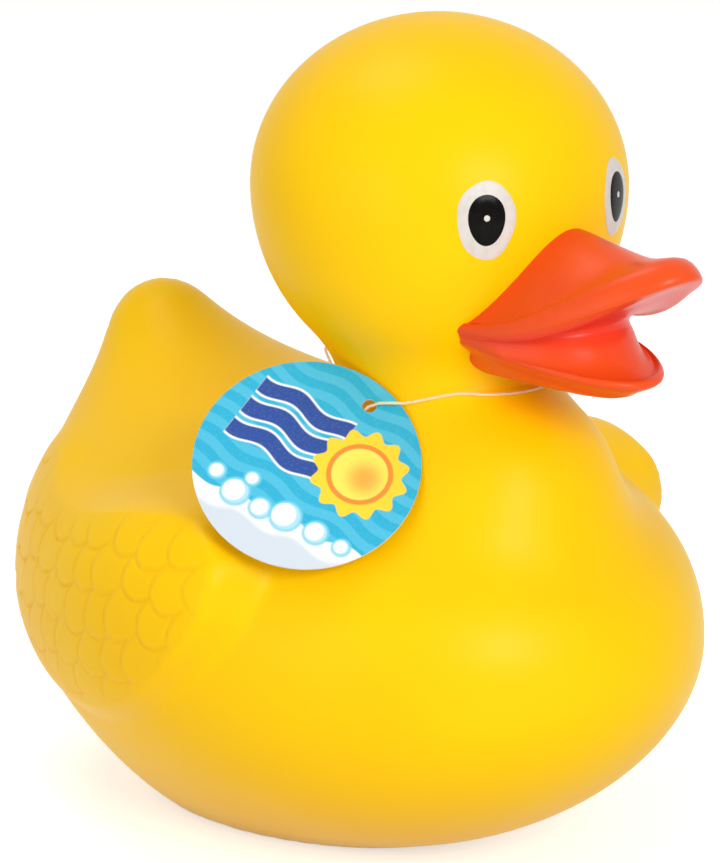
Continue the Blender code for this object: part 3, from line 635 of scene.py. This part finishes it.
bill = {"sweep": radians(98), "sink": 0.0010, "columns": 120, "steps": 4,
        "topRoot": (0.0250, -0.0045, -0.0312, 2.3), "underRoot": (0.0180, -0.0510, -0.0405, 1.0),
        "rings": ((0.0120, 0.0252, -0.0068, -0.0314, 1.9), (0.0270, 0.0259, -0.0086, -0.0316, 1.8),
                  (0.0395, 0.0266, -0.0066, -0.0319, 1.6), (0.0455, 0.0270, -0.0108, -0.0332, 1.7),
                  (0.0425, 0.0268, -0.0138, -0.0342, 1.8), (0.0365, 0.0262, -0.0168, -0.0348, 2.4),
                  (0.0270, 0.0256, -0.0222, -0.0352, 2.1), (0.0150, 0.0253, -0.0290, -0.0355, 1.3),
                  (0.0175, 0.0251, -0.0345, -0.0359, 1.2), (0.0215, 0.0249, -0.0406, -0.0363, 1.6),
                  (0.0264, 0.0248, -0.0434, -0.0367, 1.4), (0.0298, 0.0246, -0.0420, -0.0371, 1.3),
                  (0.0314, 0.0242, -0.0443, -0.0380, 1.4), (0.0250, 0.0232, -0.0472, -0.0390, 1.6),
                  (0.0160, 0.0218, -0.0496, -0.0399, 1.4)),
        "upperLip": 4, "lowerLip": 11, "mouthFade": 0.5, "anchor": 0.75, "cornerSink": 0.0018,
        "cornerStart": 1.2, "cornerFade": 0.45, "cornerNormal": (0.70, 0.47, -0.53), "rootPoints": 2,
        # The next four numbers set, in rows, where the painted shade inside the mouth rises and falls; the
        # second colour below is that painted shade and also the paint's mottle
        "shadeStart": 0.4, "shadeRise": 1.2, "shadeEnd": 2, "shadeFall": 2.5, "sharpAngle": 75,
        "colour": (0.82, 0.080, 0.010), "deep": (0.80, 0.036, 0.026), "roughness": 0.31}


def headDepth(y, height):
    return head["front"] * max(1 - (y / head["halfWidth"]) ** 2 - (height / head["drop"]) ** 2, 0.0) ** 0.5


def lead(front, corner, power, turn):
    return corner + (front - corner) * max(cos(turn), 0.0) ** power


def rootPoint(root, turn):
    halfWidth, front, corner, power = root
    y = halfWidth * sin(turn)
    height = lead(front, corner, power, turn)
    return np.array((headDepth(y, height) - bill["sink"], y, height))


def ringPoint(ring, turn):
    reach, halfWidth, front, corner, power = ring
    cornerX = headDepth(halfWidth, corner)
    x = cornerX + (head["front"] + reach - cornerX) * cos(turn)
    return np.array((x, halfWidth * sin(turn), lead(front, corner, power, turn)))


def billSection(turn):
    top = rootPoint(bill["topRoot"], turn)
    under = rootPoint(bill["underRoot"], turn)
    rings = np.array([ringPoint(ring, turn) for ring in bill["rings"]])
    upper, lower = bill["upperLip"], bill["lowerLip"]
    closed = np.linspace(rings[upper], rings[lower], lower - upper + 1)[1:-1]
    inside = slice(upper + 1, lower)
    rings[inside] = closed + (rings[inside] - closed) * ease(cos(turn) / bill["mouthFade"])
    # The two corners sink into the head
    outward = np.array(bill["cornerNormal"]) * (1, np.sign(turn), 1)
    share = (abs(turn) - bill["cornerStart"]) / bill["cornerFade"]
    rings = rings - outward * bill["cornerSink"] * ease(share)
    inward = np.array((bill["anchor"], bill["anchor"], 1.0))
    section = [top * inward, top, *rings, under, under * inward]
    return headCentre + closedCurve(section, bill["steps"])


def billMaterial():
    graph = Graph("orangePaint")
    # Painted shade: inside the mouth the paint turns a deeper red where shade falls, while the mottle is the
    # paint's own uneven tone
    mouth = graph.attribute("mouth")
    mottle = graph.noise(60.0, 3.0)
    orangePeel = graph.noise(900.0, 2.0)
    toneAndShade = (mouth * 0.85 + mottle.ramp(0.4, 0.8) * 0.12).clamp()
    return graph.finish(Base_Color=graph.mix(toneAndShade, bill["colour"], bill["deep"]),
                        Roughness=bill["roughness"] + (mottle - 0.5) * 0.12,
                        Normal=graph.bump(orangePeel + mottle, 0.05, 0.0003), Specular_IOR_Level=0.20)


def makeBill():
    turns = np.linspace(-bill["sweep"], bill["sweep"], bill["columns"] + 1)
    sections = [billSection(turn) for turn in turns]
    count = len(sections[0])
    columns = bill["columns"]
    faces = [tuple(range(count)), tuple(range(columns * count, (columns + 1) * count))]
    for i in range(columns):
        for j in range(count):
            k = (j + 1) % count
            faces.append((i * count + j, i * count + k, (i + 1) * count + k, (i + 1) * count + j))
    mesh = meshFrom("billCoat", np.vstack(sections), faces)
    # A mask for the painted shade inside the mouth, between the lips
    row = np.tile(np.arange(count) / bill["steps"] - bill["rootPoints"], columns + 1)
    fromUpper = ease((row - bill["upperLip"] + bill["shadeStart"]) / bill["shadeRise"])
    fromLower = ease((bill["lowerLip"] - bill["shadeEnd"] - row) / bill["shadeFall"])
    setAttribute(mesh, "mouth", fromUpper * fromLower)
    piece = objectFrom("billCoat", mesh, billMaterial())
    smooth(piece, bill["sharpAngle"])
    finishPiece(piece, "orange_paint", "bill_paint")


# Eyes, printed on the head

eyes = {"places": {"left": (1, radians(23), 0.0008), "right": (-1, radians(28), 0.0002)},
        "halfWidth": 0.0083, "halfHeight": 0.0111, "pupilHalfWidth": 0.0053, "pupilHalfHeight": 0.0073,
        "pupilNarrowing": 0.12, "glint": 0.0009, "glintLift": 0.0007, "film": 0.00022, "uneven": 0.00018,
        "overlap": 0.94, "pupilLift": 0.6, "glintFilmLift": 1.2, "edgeShare": 0.35, "startOut": 0.2,
        "above": 0.01, "points": 96, "glintPoints": 32, "rings": 6, "glintRings": 2, "sharpAngle": 50}


def oval(halfWidth, halfHeight, narrowing, count=eyes["points"], uneven=0.0, phase=0.0):
    turn = np.linspace(0, 2 * pi, count, endpoint=False)
    wobble = 1 + uneven / halfWidth * (np.sin(3 * turn + phase) + 0.7 * np.sin(5 * turn + 2 * phase + 1))
    return np.stack((halfWidth * np.cos(turn) * (1 + narrowing * np.sin(turn)) * wobble,
                     halfHeight * np.sin(turn) * wobble), -1)


def printedFilm(name, word, outline, hole, lift, material, rings=eyes["rings"]):
    # A closed film on the head: rings of points from the middle or a hole's edge out to the outline
    side, angle, rise = eyes["places"][word]
    outward = np.array((cos(angle), side * sin(angle), 0.0))
    start = headCentre + outward * eyes["startOut"] + (0, 0, rise)
    centre = dropOnto(start[None], -outward, bareField)[0]
    normal = normalsOf(bareField, centre[None])[0]
    across = np.cross((0, 0, 1), normal)
    across = across / np.linalg.norm(across)
    up = np.cross(normal, across)
    inner = np.zeros_like(outline) if hole is None else hole
    first = 1 if hole is None else 0
    flats = [inner + (outline - inner) * step / rings for step in range(first, rings + 1)]
    points = np.vstack([centre + flat[:, :1] * across + flat[:, 1:] * up for flat in flats])
    if hole is None:
        points = np.vstack([points, centre[None]])
    points = dropOnto(points + normal * eyes["above"], -normal, bareField)
    normals = normalsOf(bareField, points)
    edge = np.ones(len(points))
    count, total = len(outline), len(points)
    edge[(len(flats) - 1) * count:len(flats) * count] = eyes["edgeShare"]
    front = points + normals * (lift + eyes["film"] * edge)[:, None]
    back = points - normals * eyes["film"]
    faces = []
    for ring in range(len(flats) - 1):
        for j in range(count):
            k = (j + 1) % count
            quad = (ring * count + j, ring * count + k, (ring + 1) * count + k, (ring + 1) * count + j)
            faces.append(quad)
            faces.append(tuple(total + corner for corner in reversed(quad)))
    rims = [len(flats) - 1]
    if hole is None:
        for j in range(count):
            faces.append((total - 1, (j + 1) % count, j))
            faces.append((2 * total - 1, total + j, total + (j + 1) % count))
    else:
        rims.append(0)
    for ring in rims:
        for j in range(count):
            here, beside = ring * count + j, ring * count + (j + 1) % count
            faces.append((here, beside, total + beside, total + here))
    piece = objectFrom(name, meshFrom(name, np.vstack((front, back)), faces), material)
    smooth(piece, eyes["sharpAngle"])
    return piece


ink = {"white": (0.68, 0.645, 0.60), "whiteDeep": (0.62, 0.58, 0.53),
       "black": (0.003, 0.0025, 0.002), "blackPale": (0.006, 0.005, 0.0045)}


def whiteMaterial():
    graph = Graph("whitePrint")
    mottle = graph.noise(400.0, 3.0)
    return graph.finish(Base_Color=graph.mix(mottle.ramp(0.35, 0.8), ink["white"], ink["whiteDeep"]),
                        Roughness=0.34 + (mottle - 0.5) * 0.1, Normal=graph.bump(mottle, 0.12, 0.0003),
                        Specular_IOR_Level=0.25)


def blackMaterial():
    graph = Graph("blackPrint")
    mottle = graph.noise(500.0, 3.0)
    return graph.finish(Base_Color=graph.mix(mottle.ramp(0.4, 0.8), ink["black"], ink["blackPale"]),
                        Roughness=0.16 + (mottle - 0.5) * 0.06, Normal=graph.bump(mottle, 0.10, 0.0003),
                        Specular_IOR_Level=0.07)


def makeEyes():
    white, black = whiteMaterial(), blackMaterial()
    rise = np.array((0.0, eyes["glintLift"]))
    for word, (side, _, _) in eyes["places"].items():
        pupil = oval(eyes["pupilHalfWidth"], eyes["pupilHalfHeight"], eyes["pupilNarrowing"])
        rim = oval(eyes["halfWidth"], eyes["halfHeight"], 0.0, uneven=eyes["uneven"], phase=1.0 + side)
        glint = oval(eyes["glint"], eyes["glint"], 0.0, eyes["glintPoints"]) + rise
        film = eyes["film"]
        ring = printedFilm("eyeWhite_" + word, word, rim, pupil * eyes["overlap"], 0.0, white)
        dark = printedFilm("eyePupil_" + word, word, pupil, None, film * eyes["pupilLift"], black)
        spot = printedFilm("eyeGlint_" + word, word, glint, None, film * eyes["glintFilmLift"], white,
                           eyes["glintRings"])
        finishPiece(ring, "white_print", "eye_white_" + word)
        finishPiece(dark, "black_print", "eye_pupil_" + word)
        finishPiece(spot, "white_print", "eye_glint_" + word)


# Swing tag

tag = {"radius": 0.0325, "thickness": 0.0006, "holeRadius": 0.0021, "holeReach": 0.0255,
       "holeTurn": radians(46), "azimuth": radians(49), "tilt": radians(41), "rimPoints": 144,
       "holePoints": 48, "aqua": (0.010, 0.42, 0.66), "pale": (0.10, 0.56, 0.78),
       "navy": (0.008, 0.060, 0.32), "white": (0.86, 0.90, 0.92), "yellow": (0.98, 0.66, 0.02),
       "orange": (0.92, 0.26, 0.02), "grey": (0.62, 0.70, 0.78), "bubble": (0.40, 0.72, 0.88),
       "glow": (1.0, 0.80, 0.20), "sunFace": (1.0, 0.78, 0.10)}

# Places on the print run from -1 to 1 across the tag
artwork = {"turn": radians(-35), "sun": (0.46, -0.10), "rays": 12, "sunRadius": 0.345, "sunRing": 0.27,
           "bubbles": ((-0.62, -0.26, 0.13), (-0.40, -0.42, 0.10), (-0.18, -0.50, 0.14), (0.08, -0.66, 0.11),
                       (-0.78, -0.06, 0.08), (0.30, -0.80, 0.08), (-0.47, -0.14, 0.07)),
           "waves": ((0.44, 0.075), (0.20, 0.080), (-0.04, 0.075)), "waveBorder": 0.022}


def tagAxes():
    level = np.array((sin(tag["azimuth"]), -cos(tag["azimuth"]), 0.0))
    face = level * cos(tag["tilt"]) + np.array((0, 0, sin(tag["tilt"])))
    across = np.array((cos(tag["azimuth"]), sin(tag["azimuth"]), 0.0))
    return face, across, np.cross(face, across)


def printMaterial():
    graph = Graph("tagPrint")
    uv = graph.add("ShaderNodeUVMap", {"uv_map": "face"})["UV"]
    split = graph.add("ShaderNodeSeparateXYZ", None, {"Vector": uv})
    u, v = split["X"] * 2 - 1, split["Y"] * 2 - 1

    def spot(x, y, radius, soft=0.012):
        away = ((u - x) ** 2.0 + (v - y) ** 2.0) ** 0.5
        return 1 - (away - radius).ramp(-soft, soft)

    def hoop(x, y, radius, width):
        away = ((u - x) ** 2.0 + (v - y) ** 2.0) ** 0.5
        return 1 - abs(away - radius).ramp(width * 0.5, width)

    turn = artwork["turn"]
    along = u * cos(turn) + v * sin(turn)
    over = v * cos(turn) - u * sin(turn)
    swell = (over * 34 + (along * 9).sine() * 1.2).sine()
    colour = graph.mix(swell.ramp(-0.2, 0.2) * 0.55, tag["aqua"], tag["pale"])
    # A white strand of foam along the lower left
    shore = (u * 0.55 + v * 1.0 + 0.62 + (u * 13).sine() * 0.035)
    colour = graph.mix(1 - shore.ramp(-0.01, 0.01), colour, tag["white"])
    shade = shore + 0.17
    colour = graph.mix(1 - shade.ramp(-0.06, 0.02), colour, tag["grey"])
    for x, y, radius in artwork["bubbles"]:
        colour = graph.mix(spot(x, y, radius), colour, tag["bubble"])
        colour = graph.mix(spot(x - radius * 0.12, y + radius * 0.12, radius * 0.78), colour, tag["white"])
        colour = graph.mix(hoop(x, y, radius, 0.018) * 0.6, colour, tag["pale"])
    # Three navy waves with pale borders
    crest = over - (along * 11).sine() * 0.035
    span = (along + 0.78).ramp(-0.01, 0.01) * (1 - (along - 0.14).ramp(-0.01, 0.01))
    for level, width in artwork["waves"]:
        band = abs(crest - level)
        border = band - width - artwork["waveBorder"]
        colour = graph.mix((1 - border.ramp(-0.008, 0.008)) * span, colour, tag["white"])
        colour = graph.mix((1 - (band - width).ramp(-0.008, 0.008)) * span, colour, tag["navy"])
    # A sun with a warm ring on the right
    x, y = artwork["sun"]
    colour = graph.mix(spot(x, y, artwork["sunRadius"]), colour, tag["glow"])
    angle = graph.add("ShaderNodeMath", {"operation": "ARCTAN2"}, {0: v - y, 1: u - x})["Value"]
    away = ((u - x) ** 2.0 + (v - y) ** 2.0) ** 0.5
    ray = (angle * artwork["rays"]).sine() * 0.035 + 0.40
    colour = graph.mix(1 - (away - ray).ramp(-0.01, 0.01), colour, tag["yellow"])
    colour = graph.mix(spot(x, y, artwork["sunRing"]), colour, tag["sunFace"])
    colour = graph.mix(hoop(x, y, artwork["sunRing"], 0.030), colour, tag["orange"])
    colour = graph.mix(spot(x + 0.04, y - 0.04, 0.13, 0.10) * 0.7, colour, tag["orange"])
    fleck = graph.noise(1500.0, 2.0)
    return graph.finish(Base_Color=graph.mix(fleck.ramp(0.45, 0.9) * 0.06, colour, (1, 1, 1)),
                        Roughness=0.30 + (fleck - 0.5) * 0.08, Normal=graph.bump(fleck, 0.04, 0.0002))


def cardMaterial():
    graph = Graph("tagCard")
    fibre = graph.noise(900.0, 4.0, 0.7)
    return graph.finish(Base_Color=graph.mix(fibre.ramp(0.3, 0.8), (0.80, 0.79, 0.76), (0.70, 0.68, 0.64)),
                        Roughness=0.62 + (fibre - 0.5) * 0.2, Normal=graph.bump(fibre, 0.2, 0.0003))


def makeTag():
    face, across, up = tagAxes()
    # The disc lies where the solid lies
    low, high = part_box("swing_tag")
    centre = (np.array(low) + np.array(high)) / 2
    turn = np.linspace(0, 2 * pi, tag["rimPoints"], endpoint=False)
    rim = np.stack((np.cos(turn), np.sin(turn)), -1) * tag["radius"]
    holeTurn = np.linspace(0, 2 * pi, tag["holePoints"], endpoint=False)
    hole = np.stack((np.cos(holeTurn), np.sin(holeTurn)), -1) * tag["holeRadius"]
    hole = hole + np.array((cos(tag["holeTurn"]), sin(tag["holeTurn"]))) * tag["holeReach"]
    work = bmesh.new()
    loops = []
    for ring in (rim, hole):
        verts = [work.verts.new((x, y, 0)) for x, y in ring]
        loops += [work.edges.new((a, b)) for a, b in zip(verts, verts[1:] + verts[:1])]
    bmesh.ops.triangle_fill(work, use_beauty=True, edges=loops)
    bmesh.ops.recalc_face_normals(work, faces=work.faces)
    if sum(f.normal.z for f in work.faces) < 0:
        bmesh.ops.reverse_faces(work, faces=work.faces)
    half = tag["thickness"] / 2
    for vertex in work.verts:
        vertex.co.z = -half
    sheet = list(work.faces)
    lifted = bmesh.ops.extrude_face_region(work, geom=sheet, use_keep_orig=True)
    for thing in lifted["geom"]:
        if isinstance(thing, bmesh.types.BMVert):
            thing.co.z = half
    bmesh.ops.recalc_face_normals(work, faces=work.faces)
    layer = work.loops.layers.uv.new("face")
    for poly in work.faces:
        # The print is on the front only
        poly.material_index = 0 if min(vertex.co.z for vertex in poly.verts) > 0 else 1
        for corner in poly.loops:
            x, y = corner.vert.co.xy / tag["radius"]
            corner[layer].uv = (x / 2 + 0.5, y / 2 + 0.5)
    place = Matrix(((across[0], up[0], face[0], centre[0]), (across[1], up[1], face[1], centre[1]),
                    (across[2], up[2], face[2], centre[2]), (0, 0, 0, 1)))
    work.transform(place)
    mesh = bpy.data.meshes.new("tagDisc")
    work.to_mesh(mesh)
    work.free()
    piece = objectFrom("tagDisc", mesh, printMaterial(), cardMaterial())
    finishPiece(piece, "tag_card", "swing_tag")


# Loop and squeaker keep their solids

plain = {"elastic": (0.96, 0.86, 0.58), "elasticDeep": (0.88, 0.76, 0.46), "elasticAlpha": 0.62,
         "squeaker": (0.80, 0.80, 0.77), "squeakerDeep": (0.72, 0.72, 0.69),
         "reed": (0.70, 0.70, 0.67), "reedDeep": (0.62, 0.62, 0.60)}


def elasticMaterial():
    graph = Graph("clearElastic")
    fibre = graph.noise(1800.0, 2.0)
    return graph.finish(Base_Color=graph.mix(fibre.ramp(0.3, 0.8), plain["elastic"], plain["elasticDeep"]),
                        Roughness=0.30 + (fibre - 0.5) * 0.1, Alpha=plain["elasticAlpha"])


def squeakerMaterial():
    graph = Graph("squeakerPlastic")
    grain = graph.noise(700.0, 3.0)
    return graph.finish(Base_Color=graph.mix(grain.ramp(0.3, 0.8), plain["squeaker"], plain["squeakerDeep"]),
                        Roughness=0.42 + (grain - 0.5) * 0.1, Normal=graph.bump(grain, 0.1, 0.0003))


def reedMaterial():
    graph = Graph("reedPlastic")
    grain = graph.noise(500.0, 2.0)
    return graph.finish(Base_Color=graph.mix(grain, plain["reed"], plain["reedDeep"]),
                        Roughness=0.30 + (grain - 0.5) * 0.1)


def dressNodes():
    plastic, reed, elastic = squeakerMaterial(), reedMaterial(), elasticMaterial()
    for name, material in (("squeaker_body", plastic), ("squeaker_reed", reed), ("tag_loop", elastic)):
        mesh = nodes[name].data
        mesh.materials.clear()
        mesh.materials.append(material)


# Floor

floor = {"size": 6.0, "colour": (0.80, 0.80, 0.80), "lift": 0.58}


def makeFloor():
    mesh = bpy.data.meshes.new("studioFloor")
    half = floor["size"] / 2
    corners = [(-half, -half, 0), (half, -half, 0), (half, half, 0), (-half, half, 0)]
    mesh.from_pydata(corners, [], [(0, 1, 2, 3)])
    graph = Graph("floorPaint")
    path = graph.add("ShaderNodeLightPath")
    seen = path["Is Camera Ray"].most(path["Is Glossy Ray"]).most(path["Is Transmission Ray"])
    lift = graph.mix(seen, (0, 0, 0), (floor["lift"],) * 3)
    material = graph.finish(Base_Color=floor["colour"], Roughness=0.9, Specular_IOR_Level=0.0,
                            Emission_Color=lift, Emission_Strength=1.0)
    piece = objectFrom("studioFloor", mesh, material)


scene.view_settings.view_transform = "Standard"
addCamera()
addLights()
print("casting")
makeCasting()
print("bill")
makeBill()
print("eyes")
makeEyes()
print("tag")
makeTag()
print("loop and squeaker")
dressNodes()
makeFloor()
